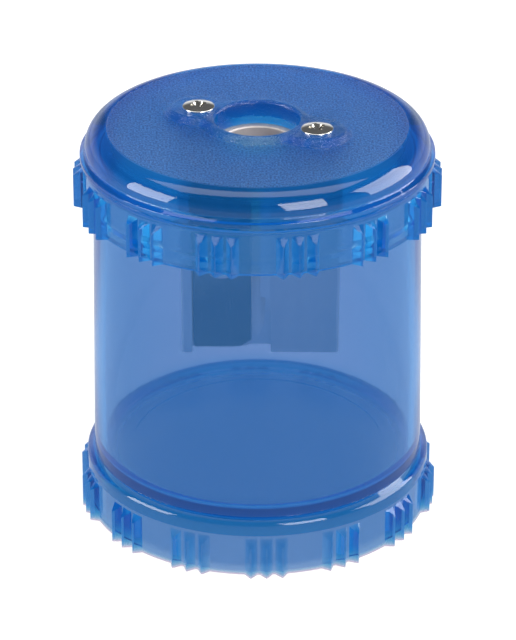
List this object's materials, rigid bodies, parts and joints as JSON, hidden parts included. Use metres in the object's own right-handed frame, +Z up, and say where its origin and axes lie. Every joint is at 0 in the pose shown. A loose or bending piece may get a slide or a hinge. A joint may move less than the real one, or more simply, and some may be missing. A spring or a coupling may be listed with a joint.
{
  "type": "pencil sharpener",
  "caption": "Canister pencil sharpener: clear blue container with a ribbed foot, lift-off ribbed lid, and a metal wedge sharpener with its blade hung under the lid.",
  "frame": {"origin": "on the table plane, on the container's axis, which is also the axis of the pencil hole", "axes": "+Z up along the pencil's axis; -Y towards the side that the blade faces; +X to the right seen from there"},
  "size_m": [0.0426, 0.0426, 0.0491],
  "materials": {
    "clear_blue": "clear tinted polystyrene, polished, fine grain on the lid's disc",
    "magnesium": "machined magnesium alloy",
    "blade_steel": "ground carbon steel",
    "plated_screw": "bright nickel plate"
  },
  "bodies": {
    "container": {"container": "clear_blue"},
    "lid": {"lid": "clear_blue", "sharpener_body": "magnesium", "blade": "blade_steel", "blade_screw": "plated_screw", "lid_screw_left": "plated_screw", "lid_screw_right": "plated_screw"}
  },
  "joints": [
    {"name": "lid_lift", "type": "slide", "parent": "container", "child": "lid", "axis": [0, 0, 1], "range_m": [0, 0.03]}
  ]
}
